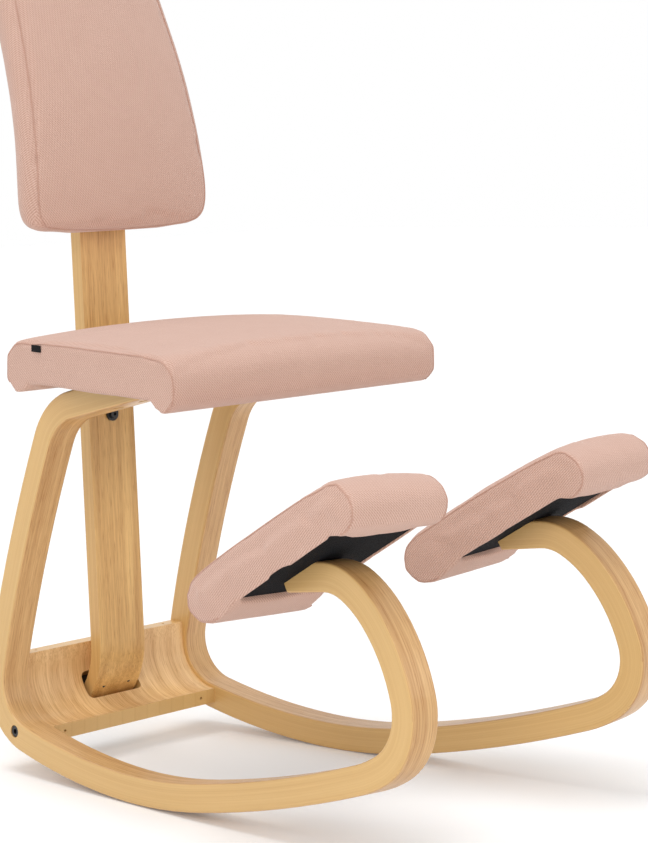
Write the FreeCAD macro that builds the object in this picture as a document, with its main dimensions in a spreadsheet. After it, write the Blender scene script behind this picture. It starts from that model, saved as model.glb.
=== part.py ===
import FreeCAD, Part
import Sketcher
import math, os
from FreeCAD import Vector, Placement, Rotation, Matrix

# Rocking kneeling chair with a tall back, in millimetres.
# Front of the chair is -Y, up is +Z, the sitter's right side is -X.
# The origin lies on the floor, on the middle plane, half way along the runners.

doc = FreeCAD.newDocument("kneeling_chair")
sheet = doc.addObject("Spreadsheet::Sheet", "Dims")

DIMS = {
    # runners
    "runnerWidth": 36.0, "runnerThick": 31.4, "runnerRound": 2.5,
    # cross panel
    "panelThick": 18.0, "slotWidth": 84.0,
    # back post
    "postWidth": 71.0, "postThick": 17.0,
    # boards, covers, cushions
    "seatBoardThick": 12.0, "kneeBoardThick": 13.0, "backBoardThick": 6.5, "coverThick": 1.5,
    "seatWidth": 414.0, "seatBoardWidth": 388.0, "kneeWidth": 134.0, "kneeBoardWidth": 122.0,
    "backBoardWidth": 200.0,
    # steel parts
    "stayWidth": 17.0, "steelThick": 3.0, "plateWidth": 112.0,
}
for row, (alias, value) in enumerate(DIMS.items(), start=1):
    sheet.set("A%d" % row, alias)
    sheet.set("B%d" % row, str(value))
    sheet.setAlias("B%d" % row, alias)
doc.recompute()
D = DIMS

SPLAY = 3.25            # each runner opens towards the front by this angle
LEAN = 2.1              # each runner leans in towards the middle plane at the top
RUNNER_X = 168.7        # half distance of the runner planes at the floor, mid length
SEAT_PITCH = 3.0        # the seat falls towards the front
SEAT_Y, SEAT_Z = 100.0, 461.8
KNEE_PITCH = 29.0       # the knee pads rise towards the front
KNEE_U, KNEE_V = 197.3, 289.2
SEAT_RECESS = 3.0       # the boards sit this much above the lower edge of the cushion sides
KNEE_RECESS = 4.0
FIT = 0.3               # clearance of a bolt hole, per side
THREAD = 0.1            # clearance between a bolt and its nut, per side
SOFT_GAP = 0.3          # the back pad clears the post by this much
HEAD_EASE = 0.04        # a flat bolt head clears the hollow of the post by this much


# Helpers for outlines

def rad(a):
    return math.radians(a)


def walk(u, v, heading, steps):
    """Follow straight runs (None, length) and arcs (radius, turn) and keep every piece."""
    pieces = []
    th = rad(heading)
    for radius, amount in steps:
        start = (u, v, th)
        if radius is None:
            u += amount * math.cos(th)
            v += amount * math.sin(th)
            centre = None
        else:
            s = 1.0 if amount > 0 else -1.0
            centre = (u - s * radius * math.sin(th), v + s * radius * math.cos(th))
            th += rad(amount)
            u = centre[0] + s * radius * math.sin(th)
            v = centre[1] - s * radius * math.cos(th)
        pieces.append({"start": start, "end": (u, v, th), "radius": radius, "centre": centre})
    return pieces


def side_point(point, distance):
    """Point at a distance to the left of the travel direction."""
    u, v, th = point
    return Vector(u - distance * math.sin(th), v + distance * math.cos(th), 0)


def reversed_walk(pieces):
    out = []
    for p in reversed(pieces):
        s = (p["end"][0], p["end"][1], p["end"][2] + math.pi)
        e = (p["start"][0], p["start"][1], p["start"][2] + math.pi)
        out.append({"start": s, "end": e, "radius": p["radius"], "centre": p["centre"]})
    return out


def strip_edges(pieces, thick):
    """Like strip, but safe for turns of both hands."""
    edges = []
    ends = []
    for side in (1, -1):
        for p in pieces:
            a = side_point(p["start"], side * thick / 2)
            b = side_point(p["end"], side * thick / 2)
            if p["radius"] is None:
                edges.append(Part.LineSegment(a, b))
            else:
                c = Vector(p["centre"][0], p["centre"][1], 0)
                r = (a - c).Length
                m = (a + b) * 0.5 - c
                m.normalize()
                edges.append(Part.Arc(a, c + m * r, b))
        ends.append((side_point(pieces[0]["start"], side * thick / 2),
                     side_point(pieces[-1]["end"], side * thick / 2)))
    edges.append(Part.LineSegment(ends[0][0], ends[1][0]))
    edges.append(Part.LineSegment(ends[0][1], ends[1][1]))
    return edges


def arcs(points):
    """Closed outline from points: a pair makes a line, a (mid, end) pair makes an arc."""
    edges = []
    here = Vector(*points[0], 0)
    for item in points[1:]:
        if len(item) == 2 and isinstance(item[0], tuple):
            mid, end = Vector(*item[0], 0), Vector(*item[1], 0)
            edges.append(Part.Arc(here, mid, end))
        else:
            end = Vector(*item, 0)
            edges.append(Part.LineSegment(here, end))
        here = end
    return edges


def held(sketch):
    """Keep every line of a sketch where it was drawn."""
    for i in range(sketch.GeometryCount):
        sketch.addConstraint(Sketcher.Constraint("Block", i))


def plane_of(body, role):
    return [f for f in body.Origin.OriginFeatures if f.Role == role][0]


def new_body(name, placement=None):
    body = doc.addObject("PartDesign::Body", name)
    body.Label = name
    if placement is not None:
        body.Placement = placement
    return body


def add_sketch(body, edges, role="XY_Plane", offset=0.0, name="Outline"):
    sketch = doc.addObject("Sketcher::SketchObject", name)
    body.addObject(sketch)
    sketch.AttachmentSupport = [(plane_of(body, role), "")]
    sketch.MapMode = "FlatFace"
    sketch.AttachmentOffset = Placement(Vector(0, 0, offset), Rotation())
    for e in edges:
        sketch.addGeometry(e, False)
    held(sketch)
    doc.recompute()
    return sketch


def add_pad(body, sketch, alias=None, length=None, middle=True):
    pad = body.newObject("PartDesign::Pad", "Pad")
    pad.Profile = sketch
    pad.Midplane = middle
    if alias:
        pad.setExpression("Length", "Dims." + alias)
    else:
        pad.Length = length
    sketch.Visibility = False
    doc.recompute()
    return pad


def add_pocket(body, sketch, length, middle=True):
    before = body.Shape.Volume
    cut = body.newObject("PartDesign::Pocket", "Pocket")
    cut.Profile = sketch
    cut.Midplane = middle
    cut.Length = length
    doc.recompute()
    assert body.Shape.Volume < before - 1.0, "pocket cut nothing: " + body.Label
    return cut


def add_round(body, feature, faces, alias=None, radius=None):
    rnd = body.newObject("PartDesign::Fillet", "Round")
    rnd.Base = (feature, faces)
    if alias:
        rnd.setExpression("Radius", "Dims." + alias)
    else:
        rnd.Radius = radius
    doc.recompute()
    return rnd


def flat_faces(shape, axis):
    """Names of the faces at the two ends of an axis of the local frame."""
    names = []
    for i, f in enumerate(shape.Faces, start=1):
        n = f.normalAt(0, 0)
        c = f.CenterOfMass
        if abs(abs(n.dot(axis)) - 1) < 1e-6 and f.Area > 400:
            names.append((c.dot(axis), "Face%d" % i))
    names.sort()
    return [names[0][1], names[-1][1]]


def cut_by(name, base, tools):
    """A boolean cut of one object by a list of shapes, kept as document objects."""
    held = doc.addObject("Part::Feature", name + "_cutters")
    held.Shape = tools[0] if len(tools) == 1 else tools[0].multiFuse(tools[1:])
    result = doc.addObject("Part::Cut", name + "_cut")
    result.Base = base
    result.Tool = held
    doc.recompute()
    return result


def frame_matrix(origin, x, y, z):
    return Placement(Matrix(x.x, y.x, z.x, origin.x,
                            x.y, y.y, z.y, origin.y,
                            x.z, y.z, z.z, origin.z,
                            0, 0, 0, 1))


def runner_frame(side):
    """Local X runs forward, local Y up, along the leaning plane of a runner.
    side -1 is the sitter's right, +1 the left. Returns the placement and the outward normal."""
    p, q = rad(SPLAY), rad(LEAN)
    forward = Vector(side * math.sin(p), -math.cos(p), 0)
    out0 = Vector(side * math.cos(p), math.sin(p), 0)
    up = Vector(0, 0, 1) * math.cos(q) - out0 * math.sin(q)
    out = out0 * math.cos(q) + Vector(0, 0, 1) * math.sin(q)
    z = forward.cross(up)
    return frame_matrix(Vector(side * RUNNER_X, 0, 0), forward, up, z), out


def tilted(origin, forward, up):
    """Local X runs forward, Y up and Z to the side."""
    return frame_matrix(origin, forward, up, forward.cross(up))


def drill(at, along, diameter, length):
    return Part.makeCylinder(diameter / 2, length, at, along)


def hexagon(across, height):
    points = [Vector(across / math.sqrt(3) * math.cos(rad(60 * k)),
                     across / math.sqrt(3) * math.sin(rad(60 * k)), 0) for k in range(7)]
    return Part.Face(Part.makePolygon(points)).extrude(Vector(0, 0, height))


def socket_bolt(head, head_high, shank, length, key):
    """Bolt along +Z, bearing face at the origin, key socket in the head."""
    body = Part.makeCylinder(head / 2, head_high, Vector(0, 0, -head_high))
    body = body.makeFillet(0.8, [body.Edges[i] for i in range(len(body.Edges))
                                 if abs(body.Edges[i].CenterOfMass.z + head_high) < 1e-6])
    body = body.fuse(Part.makeCylinder(shank / 2, length)).removeSplitter()
    socket = hexagon(key, head_high * 0.65)
    socket.translate(Vector(0, 0, -head_high))
    return body.cut(socket)


def t_nut(flange, barrel, bore, height):
    """Flanged nut along +Z: the flange on top, the barrel below it."""
    body = Part.makeCylinder(flange / 2, 1.5, Vector(0, 0, height - 1.5))
    body = body.fuse(Part.makeCylinder(barrel / 2, height - 1.5)).removeSplitter()
    return body.cut(Part.makeCylinder(bore / 2, height))


def placed(shape, at, along):
    copy = shape.copy()
    copy.Placement = Placement(at, Rotation(Vector(0, 0, 1), along))
    return copy


def group(name, shapes):
    obj = doc.addObject("Part::Feature", name)
    obj.Shape = Part.makeCompound(shapes)
    obj.Label = name
    return obj


# The runners: one laminated strip each, a walk of straight runs and arcs
RUNNER_START = (-40.0, 474.6, 192.5)
RUNNER_STEPS = [
    (None, 157.8),      # under the seat
    (74, 53.4),         # upper rear bend
    (1800, 9.3),        # rear leg
    (65, 90.6),         # lower rear bend
    (900, 11.3),        # rear rocker
    (700, 12.2),        # rocker at rest on the floor
    (1770, 8.4),        # front rocker
    (160, 13.5),
    (66, 74.3),         # lower front bend
    (186, 28.5),        # front rise
    (130, 18.9),
    (65, 33.7),         # upper front bend
    (None, 86.0),       # under the knee pad
]
RUN = walk(*RUNNER_START, RUNNER_STEPS)
BEND = RUN[3]
TIP_HEIGHT = 9.7        # blunt end left at the knee pad
TIP_FRONT = -28.6       # where the knee end stops, along the pad
SEAT_TIP_U = -50.0      # where the seat end stops


def knee_line(f, h):
    """Point of the runner plane from distances along and above the knee pad plane."""
    c, s = math.cos(rad(KNEE_PITCH)), math.sin(rad(KNEE_PITCH))
    return (KNEE_U + f * c - h * s, KNEE_V + f * s + h * c)


def seat_point(x, f, h):
    """World point from distances forward and above the seat plane."""
    c, s = math.cos(rad(SEAT_PITCH)), math.sin(rad(SEAT_PITCH))
    return Vector(x, SEAT_Y - f * c - h * s, SEAT_Z - f * s + h * c)


SEAT_UP = Vector(0, -math.sin(rad(SEAT_PITCH)), math.cos(rad(SEAT_PITCH)))
SEAT_FORWARD = Vector(0, -math.cos(rad(SEAT_PITCH)), -math.sin(rad(SEAT_PITCH)))

# bolt places on the centre line of the lower rear bend, seen square to the runner
BOLT_TURNS = [12.8, 78.9]
BOLT_HEAD_DEEP = 7.0
PANEL_INSET = 2.0       # the panel's centre line lies this much inside the runner's


def on_bend(turn):
    th = BEND["start"][2] + rad(turn)
    r = BEND["radius"] - PANEL_INSET
    return (BEND["centre"][0] + r * math.sin(th), BEND["centre"][1] - r * math.cos(th))


SEAT_BOLT_F = [-22.0, 22.0]
KNEE_BOLT_F = [-9.0, 17.0]
SEAT_BOLT = {"head": 11.0, "high": 4.0, "shank": 6.0, "key": 4.0}
PANEL_BOLT = {"head": 14.0, "high": 6.0, "shank": 8.0, "key": 6.0}


def seat_bolt_x(f):
    """Distance from the middle plane to the runner's own plane at the seat."""
    y = SEAT_Y - f
    u = -y
    return RUNNER_X + u * math.sin(rad(SPLAY)) - SEAT_Z * math.sin(rad(LEAN))


for side, name in ((-1, "runner_right"), (1, "runner_left")):
    where, outward = runner_frame(side)
    body = new_body(name + "_body", where)
    outline = add_sketch(body, strip_edges(RUN, D["runnerThick"]))
    pad = add_pad(body, outline, alias="runnerWidth")
    faces = flat_faces(pad.Shape, Vector(0, 0, 1))
    rnd = add_round(body, pad, faces, alias="runnerRound")
    # mitre under the knee pad, with its blunt tip
    a = knee_line(-120, 60)
    b = knee_line(90, 60)
    c = knee_line(90, 0)
    d = knee_line(TIP_FRONT, 0)
    e = knee_line(TIP_FRONT, -60)
    f = knee_line(-120, -60)
    mitre = add_sketch(body, arcs([a, b, c, d, e, f, a]), name="KneeMitre")
    add_pocket(body, mitre, 80)
    doc.recompute()
    # mitre under the seat, bolt holes
    tools = []
    block = Part.makeBox(400, 400, 80, Vector(-200, -200, 0))
    seat_cut = block.copy()
    seat_cut.Placement = Placement(seat_point(side * 145, 0, SEAT_RECESS),
                                   Rotation(Vector(0, 0, 1), SEAT_UP))
    tools.append(seat_cut)
    tip = Part.makeBox(80, 60, 80, Vector(SEAT_TIP_U, 440, -40))
    tip.Placement = where
    tools.append(tip)
    for turn in BOLT_TURNS:
        u, v = on_bend(turn)
        centre = where.multVec(Vector(u, v, 0))
        face = centre + outward * (D["runnerWidth"] / 2)
        tools.append(drill(face + outward * 2, -outward, PANEL_BOLT["head"] + 2 * FIT,
                           BOLT_HEAD_DEEP + 2))
        tools.append(drill(face, -outward, PANEL_BOLT["shank"] + 2 * FIT, D["runnerWidth"] + 2))
    for f in SEAT_BOLT_F:
        top = seat_point(side * seat_bolt_x(f), f, SEAT_RECESS + 1)
        tools.append(drill(top, -SEAT_UP, SEAT_BOLT["shank"] + 2 * FIT, 60))
        tools.append(drill(top - SEAT_UP * 9.0, -SEAT_UP, SEAT_BOLT["head"] + 2 * FIT, 60))
    for f in KNEE_BOLT_F:
        up = where.Rotation.multVec(Vector(-math.sin(rad(KNEE_PITCH)), math.cos(rad(KNEE_PITCH)), 0))
        u, v = knee_line(f, 1)
        top = where.multVec(Vector(u, v, 0))
        tools.append(drill(top, -up, SEAT_BOLT["shank"] + 2 * FIT, 60))
        tools.append(drill(top - up * 13.0, -up, SEAT_BOLT["head"] + 2 * FIT, 60))
    done = cut_by(name, body, tools)
    done.Label = name


# The cross panel: bent plywood between the lower rear bends, with the post slot
def to_yz(u, v):
    return (-u * math.cos(rad(SPLAY)), v * math.cos(rad(LEAN)))


PANEL_CENTRE = to_yz(*BEND["centre"])
PANEL_RADIUS = BEND["radius"] - PANEL_INSET
PANEL_TOP_RUN = 25.0
PANEL_FIRST = 91.5      # where the straight top starts, degrees from straight down
PANEL_LAST = 4.2        # where the front edge lies


def panel_point(angle, radius):
    """Point of the panel section; the angle is counted from straight down to the rear."""
    return (PANEL_CENTRE[0] + radius * math.sin(rad(angle)),
            PANEL_CENTRE[1] - radius * math.cos(rad(angle)))


top_y, top_z = panel_point(PANEL_FIRST, PANEL_RADIUS)
first = rad(PANEL_FIRST)
# travel direction down along the arc (towards smaller angle)
down = (-math.cos(first), -math.sin(first))
start = (top_y - down[0] * PANEL_TOP_RUN, top_z - down[1] * PANEL_TOP_RUN)
PANEL = walk(start[0], start[1], math.degrees(math.atan2(down[1], down[0])),
             [(None, PANEL_TOP_RUN), (PANEL_RADIUS, PANEL_LAST - PANEL_FIRST)])

body = new_body("cross_panel_body", frame_matrix(Vector(0, 0, 0), Vector(0, 1, 0), Vector(0, 0, 1),
                                                 Vector(1, 0, 0)))
outline = add_sketch(body, strip_edges(PANEL, D["panelThick"]))
pad = add_pad(body, outline, length=300.0)
tools = []
for side in (-1, 1):
    where, outward = runner_frame(side)
    block = Part.makeBox(400, 400, 80, Vector(-400, -50, 0))
    if side < 0:
        block.translate(Vector(0, 0, -D["runnerWidth"] / 2))
    else:
        block.translate(Vector(0, 0, -80 + D["runnerWidth"] / 2))
    block.Placement = where.multiply(block.Placement)
    tools.append(block)
# slot: rounded at its four corners, cut square to the bend
SLOT_LOW, SLOT_HIGH = 41.6, 80.0
SLOT_MID = (SLOT_LOW + SLOT_HIGH) / 2
slot_out = Vector(0, math.sin(rad(SLOT_MID)), -math.cos(rad(SLOT_MID)))
half_open = (PANEL_RADIUS - D["panelThick"] / 2) * math.sin(rad((SLOT_HIGH - SLOT_LOW) / 2))
slot = Part.makeBox(D["slotWidth"], 2 * half_open, 60,
                    Vector(-D["slotWidth"] / 2, -half_open, PANEL_RADIUS - 30))
slot = slot.makeFillet(7.0, [e for e in slot.Edges
                             if abs(e.tangentAt(e.FirstParameter).z) > 0.99])
slot_up = Vector(1, 0, 0).cross(slot_out) * -1
slot.Placement = frame_matrix(Vector(0, *PANEL_CENTRE), Vector(1, 0, 0), slot_out.cross(Vector(1, 0, 0)),
                              slot_out)
tools.append(slot)
# pilot holes in the top and front edges
PILOT = 3.6
top_edge = PANEL[0]["start"]
lip_edge = PANEL[-1]["end"]
for side in (-1, 1):
    for edge, sign, inset in ((top_edge, 1, 24.0), (lip_edge, -1, 23.0)):
        direction = Vector(0, math.cos(edge[2]), math.sin(edge[2])) * sign
        where, outward = runner_frame(side)
        u = -edge[0] / math.cos(rad(SPLAY))
        v = edge[1] / math.cos(rad(LEAN))
        x_face = where.multVec(Vector(u, v, 0)).x - side * (D["runnerWidth"] / 2)
        at = Vector(x_face - side * inset, edge[0], edge[1]) - direction
        tools.append(drill(at, direction, PILOT, 12))
# seats of the threaded inserts in the panel ends
INSERT_D, INSERT_L = 12.0, 22.0
insert_places = []
for side in (-1, 1):
    where, outward = runner_frame(side)
    for turn in BOLT_TURNS:
        u, v = on_bend(turn)
        at = where.multVec(Vector(u, v, 0)) - outward * (D["runnerWidth"] / 2)
        insert_places.append((at, outward))
        tools.append(drill(at + outward * 2, -outward, INSERT_D, INSERT_L + 2))
        tools.append(drill(at, -outward, PANEL_BOLT["shank"] + 2 * FIT, INSERT_L + 8))
panel = cut_by("cross_panel", body, tools)
panel.Label = "cross_panel"

# inserts and bolts of the panel
insert = Part.makeCylinder(INSERT_D / 2, INSERT_L).cut(
    Part.makeCylinder(PANEL_BOLT["shank"] / 2 + THREAD, INSERT_L))
group("panel_inserts", [placed(insert, at, -outward) for at, outward in insert_places])
bolt_long = D["runnerWidth"] - BOLT_HEAD_DEEP + INSERT_L
bolt = socket_bolt(PANEL_BOLT["head"], PANEL_BOLT["high"], PANEL_BOLT["shank"], bolt_long,
                   PANEL_BOLT["key"])
group("panel_bolts", [placed(bolt, at + outward * (D["runnerWidth"] - BOLT_HEAD_DEEP), -outward)
                      for at, outward in insert_places])

# The back post: a laminated plank, bent back at the foot and again behind the pad
POST_FRONT_Y = 301.5    # front face just above the foot bend
POST_BEND_Z = 131.0
POST_FOOT_RADIUS = 100.0     # of the front face
POST_LEAN = 0.6
POST_TURN_Z = 652.0     # above this height the post follows the back pad
POST_TOP_RADIUS = 640.0
POST_TOP_TURN = 13.5
FOOT_TURN = 62.0
t = D["postThick"]
straight = (POST_TURN_Z - POST_BEND_Z) / math.cos(rad(POST_LEAN))
foot_r = POST_FOOT_RADIUS - t / 2
up0 = 90.0 - POST_LEAN      # heading of the straight part: up and slightly to the rear
POST_UP = walk(POST_FRONT_Y + t / 2, POST_BEND_Z, up0, [(None, straight),
                                                        (POST_TOP_RADIUS, -POST_TOP_TURN)])
foot_y, foot_z = POST_FRONT_Y + t / 2, POST_BEND_Z
POST_DOWN = walk(foot_y, foot_z, up0 - 180.0, [(foot_r, FOOT_TURN)])


YZ_SIDE = frame_matrix(Vector(0, 0, 0), Vector(0, 1, 0), Vector(0, 0, 1), Vector(1, 0, 0))
body = new_body("back_post_body", YZ_SIDE)
outline = add_sketch(body, strip_edges(reversed_walk(POST_DOWN) + POST_UP, t))
pad = add_pad(body, outline, alias="postWidth")
# the foot ends on the rear face of the panel, where the plate closes the slot
tools = []
outer_r = PANEL_RADIUS + D["panelThick"] / 2
ring = Part.makeCylinder(160, 200, Vector(-100, PANEL_CENTRE[0], PANEL_CENTRE[1]), Vector(1, 0, 0))
ring = ring.cut(Part.makeCylinder(outer_r, 200, Vector(-100, PANEL_CENTRE[0], PANEL_CENTRE[1]),
                                  Vector(1, 0, 0)))
low = Part.makeBox(200, 400, POST_BEND_Z - 40, Vector(-100, 200, 0))
tools.append(ring.common(low))
# foot bolts, square to the panel bend
FOOT_BOLT_X = [-20.0, 20.0]
FOOT_ANGLE = 54.7
foot_dir = Vector(0, math.sin(rad(FOOT_ANGLE)), -math.cos(rad(FOOT_ANGLE)))
PLATE_T = 3.0
FOOT_DEEP = 26.0
foot_heads = []
for x in FOOT_BOLT_X:
    at = Vector(x, *PANEL_CENTRE) + foot_dir * (outer_r + PLATE_T)
    foot_heads.append(at)
    tools.append(drill(at, -foot_dir, 6.0 + 2 * THREAD, PLATE_T + FOOT_DEEP))
# bolt of the seat stay
STAY_BOLT_Z = 410.0
stay_front = POST_FRONT_Y + (STAY_BOLT_Z - POST_BEND_Z) * math.tan(rad(POST_LEAN))
STAY_AT = Vector(0, stay_front, STAY_BOLT_Z)
STAY_DIR = Vector(0, math.cos(rad(POST_LEAN)), -math.sin(rad(POST_LEAN)))
tools.append(drill(STAY_AT - STAY_DIR * 10, STAY_DIR, 6.0 + 2 * FIT, 40))
# bolts of the back pad
BACK_BOLT_Z = [690.0, 760.0]


def post_top_at(z):
    """Centre of the post and its slope from upright at a height above the turn."""
    p = POST_UP[1]
    c = p["centre"]
    a = math.asin((z - c[1]) / POST_TOP_RADIUS)
    return c[0] - POST_TOP_RADIUS * math.cos(a), a


back_bolts = []
for z in BACK_BOLT_Z:
    y, a = post_top_at(z)
    inward = Vector(0, -math.cos(a), math.sin(a))
    back_bolts.append((Vector(0, y, z), inward))
    tools.append(drill(Vector(0, y, z) - inward * 30, inward, 6.0 + 2 * FIT, 60))
post = cut_by("back_post", body, tools)
post.Label = "back_post"

# The foot plate: curved steel behind the slot
body = new_body("foot_plate_body", YZ_SIDE)
plate_r = outer_r + PLATE_T / 2
PLATE_FROM, PLATE_TO = 92.0, 28.0
py, pz = PANEL_CENTRE[0] + plate_r * math.sin(rad(PLATE_FROM)), PANEL_CENTRE[1] - plate_r * math.cos(
    rad(PLATE_FROM))
PLATE = walk(py, pz, PLATE_FROM - 180.0, [(plate_r, -(PLATE_FROM - PLATE_TO))])
outline = add_sketch(body, strip_edges(PLATE, PLATE_T))
pad = add_pad(body, outline, alias="plateWidth")
tools = []
for at in foot_heads:
    tools.append(drill(at + foot_dir * 5, -foot_dir, 6.0 + 2 * FIT, 20))
screw_places = []
for x in (-49.0, 49.0):
    for angle in (40.0, 80.0):
        d = Vector(0, math.sin(rad(angle)), -math.cos(rad(angle)))
        at = Vector(x, *PANEL_CENTRE) + d * (outer_r + PLATE_T)
        screw_places.append((at, -d))
        tools.append(drill(at + d * 5, -d, 4.0 + 2 * FIT, 20))
plate = cut_by("foot_plate", body, tools)
plate.Label = "foot_plate"
foot_bolt = socket_bolt(11.0, 4.0, 6.0, PLATE_T + FOOT_DEEP, 4.0)
group("foot_bolts", [placed(foot_bolt, at, -foot_dir) for at in foot_heads])
wood_screw = socket_bolt(8.0, 2.5, 4.0, PLATE_T + 12.0, 3.0)
group("foot_screws", [placed(wood_screw, at, d) for at, d in screw_places])
panel_drills = [drill(at, d, 4.0 + 2 * THREAD, PLATE_T + 12.0) for at, d in screw_places]
panel_old = panel
panel_old.Label = "cross_panel_bare"
panel = cut_by("cross_panel_drilled", panel_old, panel_drills)
panel.Label = "cross_panel"

# The seat
SEAT_OUTLINE = [
    (-113, 47.0), ((0, 49.5), (105, 47.5)), ((127.5, 38.0), (136.5, 18.0)), ((133.0, 0.0), (122.0, -10.0)),
    ((110.0, -10.0), (98.0, 0.0)), (-106.0, 0.0), ((-116.0, -8.5), (-128.0, -10.5)),
    ((-141.0, -1.0), (-145.0, 17.0)), ((-136.0, 38.0), (-113, 47.0))]
KNEE_OUTLINE = [
    (-101, 45.5), ((15, 49.0), (127, 43.5)), ((146.5, 33.0), (154, 15.0)), ((149.5, 0.0), (138, -8.5)),
    ((124, -10.0), (112, -4.0)), (-58, -4.0), ((-73, -8.0), (-90, -9.5)),
    ((-117, -2.5), (-129, 17.0)), ((-121.5, 37.0), (-101, 45.5))]


def crowned(points, rise):
    """Raise the part of an outline above its middle, in proportion to its height."""
    def up(p):
        return (p[0], p[1] + rise * max(0.0, (p[1] - 10.0) / 39.0))
    out = []
    for item in points:
        if isinstance(item[0], tuple):
            out.append((up(item[0]), up(item[1])))
        else:
            out.append(up(item))
    return out


def loft_sketch(name, edges, placement):
    sketch = doc.addObject("Sketcher::SketchObject", name)
    sketch.Placement = placement
    for e in edges:
        sketch.addGeometry(e, False)
    held(sketch)
    sketch.Visibility = False
    doc.recompute()
    return sketch


def cushion(name, frame, outline, half_width, rises):
    """Loft across the width: rises are (part of the half width, crown) pairs."""
    sections = []
    for k, (part, rise) in enumerate(rises):
        shift = Placement(Vector(0, 0, part * half_width), Rotation())
        sections.append(loft_sketch("%s_section%d" % (name, k), arcs(crowned(outline, rise)),
                                    frame.multiply(shift)))
    loft = doc.addObject("Part::Loft", name + "_form")
    loft.Sections = sections
    loft.Solid = True
    loft.Ruled = False
    doc.recompute()
    return loft


def board_shape(frame, f0, f1, h0, h1, half, corner):
    box = Part.makeBox(f1 - f0, h1 - h0, 2 * half, Vector(f0, h0, -half))
    box = box.makeFillet(corner, [e for e in box.Edges
                                  if abs(e.tangentAt(e.FirstParameter).y) > 0.99])
    box.Placement = frame
    return box


def rounded_board(name, frame, f0, f1, h0, alias, half, corner):
    """A flat board or cover: the outline padded upwards from h0 by a sheet dimension."""
    body = new_body(name + "_body", frame.multiply(
        frame_matrix(Vector(0, h0, 0), Vector(1, 0, 0), Vector(0, 0, -1), Vector(0, 1, 0))))
    k = corner * (1 - math.sqrt(0.5))
    edges = arcs([
        (f0 + corner, -half), (f1 - corner, -half), ((f1 - k, -half + k), (f1, -half + corner)),
        (f1, half - corner), ((f1 - k, half - k), (f1 - corner, half)), (f0 + corner, half),
        ((f0 + k, half - k), (f0, half - corner)), (f0, -half + corner),
        ((f0 + k, -half + k), (f0 + corner, -half))])
    outline = add_sketch(body, edges)
    add_pad(body, outline, alias=alias, middle=False)
    return body


SEAT_FRAME = tilted(Vector(0, SEAT_Y, SEAT_Z), SEAT_FORWARD, SEAT_UP)
sh = D["seatWidth"] / 2
seat_form = cushion("seat", SEAT_FRAME, SEAT_OUTLINE, sh,
                    [(-1.0, 0.0), (-0.55, 6.5), (0.0, 9.0), (0.55, 6.5), (1.0, 0.0)])
SEAT_F0, SEAT_F1 = -104.0, 90.0
sb_half = D["seatBoardWidth"] / 2
cover_h = SEAT_RECESS
board_h = SEAT_RECESS + D["coverThick"]
hollow = board_shape(SEAT_FRAME, SEAT_F0, SEAT_F1, -30, board_h + D["seatBoardThick"], sb_half, 14.0)
NUT_FLANGE, NUT_BARREL, NUT_HIGH = 18.0, 8.0, 9.0
seat_nut_top = board_h + D["seatBoardThick"] + 1.5
seat_bolt_at = [(side * seat_bolt_x(f), f) for side in (-1, 1) for f in SEAT_BOLT_F]
flange_room = [drill(seat_point(x, f, board_h + D["seatBoardThick"] - 0.01), SEAT_UP, NUT_FLANGE + 0.4, 4.0)
               for x, f in seat_bolt_at]
seat_cushion = cut_by("seat_cushion", seat_form, [hollow] + flange_room)
seat_cushion.Label = "seat_cushion"

body = rounded_board("seat_board", SEAT_FRAME, SEAT_F0, SEAT_F1, board_h, "seatBoardThick", sb_half, 14.0)
tools = [drill(seat_point(x, f, board_h - 1), SEAT_UP, NUT_BARREL, 30) for x, f in seat_bolt_at]
STAY_SCREWS_Y = [135.0, 160.0]


def seat_f(y):
    return (SEAT_Y - y) / math.cos(rad(SEAT_PITCH))


stay_screw_at = [seat_point(0, seat_f(y), 0) for y in STAY_SCREWS_Y]
tools += [drill(p, SEAT_UP, 4.0 + 2 * THREAD, SEAT_RECESS + D["coverThick"] + 9.5) for p in stay_screw_at]
seat_board = cut_by("seat_board", body, tools)
seat_board.Label = "seat_board"
body = rounded_board("seat_undercover", SEAT_FRAME, SEAT_F0, SEAT_F1, cover_h, "coverThick", sb_half, 14.0)
tools = [drill(seat_point(x, f, cover_h - 1), SEAT_UP, 6.0 + 2 * FIT, 10) for x, f in seat_bolt_at]
tools += [drill(p, SEAT_UP, 4.0 + 2 * FIT, 8) for p in stay_screw_at]
seat_cover = cut_by("seat_undercover", body, tools)
seat_cover.Label = "seat_undercover"
nut = t_nut(NUT_FLANGE, NUT_BARREL, 6.0 + 2 * THREAD, NUT_HIGH)
group("seat_nuts", [placed(nut, seat_point(x, f, seat_nut_top - NUT_HIGH), SEAT_UP) for x, f in seat_bolt_at])
SEAT_GRIP = 8.0         # runner thickness left above the bolt head
seat_bolt_long = SEAT_GRIP + D["coverThick"] + D["seatBoardThick"]
bolt = socket_bolt(SEAT_BOLT["head"], SEAT_BOLT["high"], SEAT_BOLT["shank"], seat_bolt_long, SEAT_BOLT["key"])
group("seat_bolts", [placed(bolt, seat_point(x, f, SEAT_RECESS - SEAT_GRIP), SEAT_UP) for x, f in seat_bolt_at])
# small plain tab in the side seam, near the rear
body = new_body("seat_tab")
outline = add_sketch(body, arcs([(-97, 38.5), (-82, 38.5), (-82, 46), (-97, 46), (-97, 38.5)]))
add_pad(body, outline, length=1.2, middle=False)
body.Placement = SEAT_FRAME.multiply(Placement(Vector(0, 0, sh), Rotation()))

# The stay: a steel strap from the post to the seat board
st = D["steelThick"]
body = new_body("seat_stay_body", YZ_SIDE)


def seat_under(y, h):
    f = seat_f(y)
    p = seat_point(0, f, h)
    return (p.y, p.z)


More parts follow.
